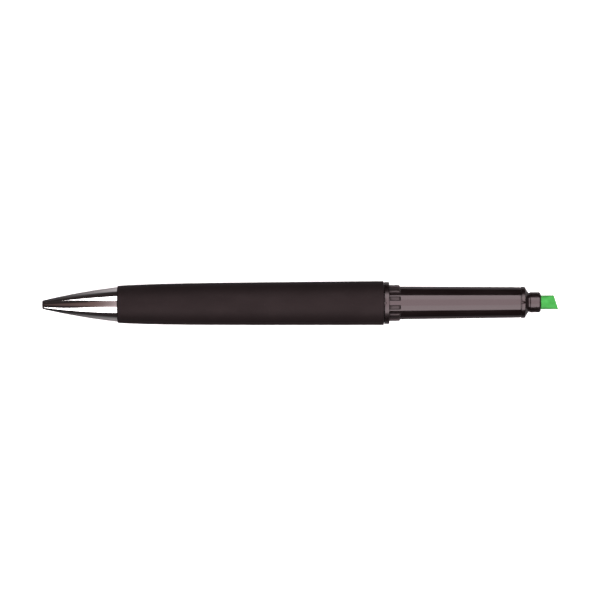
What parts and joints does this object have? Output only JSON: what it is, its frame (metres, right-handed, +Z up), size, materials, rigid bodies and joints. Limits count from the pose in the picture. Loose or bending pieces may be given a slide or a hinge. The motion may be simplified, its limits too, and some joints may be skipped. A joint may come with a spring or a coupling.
{
  "type": "twist pen with highlighter end",
  "caption": "Two-ended twist pen lying flat: chrome nose with a retracting ballpoint, matte black barrel, gloss black uncapped highlighter end with a green chisel nib.",
  "frame": {"origin": "centre of the bounding box's base, on the surface that the pen lies on", "axes": "+X along the pen from the chrome nose to the highlighter nib, +Z up"},
  "size_m": [0.1474, 0.0126, 0.0126],
  "materials": {
    "chrome": "bright chrome plate",
    "brass": "turned, satin",
    "steel": "drawn",
    "soft_black": "soft-touch coating, matte",
    "gloss_black": "polished moulding",
    "ivory_plastic": "moulded, satin",
    "grey_plastic": "moulded, satin",
    "rubber": "greased",
    "green_felt": "bonded felt, wet with ink",
    "green_fibre": "fibre bundle, wet with ink",
    "clear_film": "thin film",
    "blue_ink": "wet paste",
    "grease": "wet paste"
  },
  "bodies": {
    "barrel_assembly": {"nose_cone": "chrome", "front_bush": "brass", "barrel": "soft_black", "mechanism_housing": "ivory_plastic", "rear_bush": "gloss_black", "return_spring": "steel"},
    "highlighter_module": {"highlighter_body": "gloss_black", "nib_holder": "gloss_black", "highlighter_nib": "green_felt", "ink_reservoir": "green_fibre", "reservoir_wrap": "clear_film", "drive_spindle": "grey_plastic", "spindle_o_ring": "rubber", "retaining_clip": "steel", "thrust_washer": "brass"},
    "refill_carriage": {"cam_follower": "ivory_plastic", "refill_tube": "ivory_plastic", "refill_point": "brass", "refill_ink": "blue_ink", "refill_grease_plug": "grease"},
    "ball": {"writing_ball": "steel"}
  },
  "joints": [
    {"name": "module_twist", "type": "hinge", "parent": "barrel_assembly", "child": "highlighter_module", "pos_m": [0.02538, 0, 0.00628], "axis": [1, 0, 0], "range_deg": [0, 180]},
    {"name": "point_slide", "type": "slide", "parent": "barrel_assembly", "child": "refill_carriage", "axis": [-1, 0, 0], "range_m": [0, 0.0045], "deforming": ["return_spring"]},
    {"name": "ball_roll", "type": "hinge", "parent": "refill_carriage", "child": "ball", "pos_m": [-0.07233, 0, 0.00628], "axis": [0, 1, 0], "continuous": true}
  ],
  "couplings": [
    {"joint": "module_twist", "follows": "point_slide", "rad_per_m": 698.13}
  ]
}
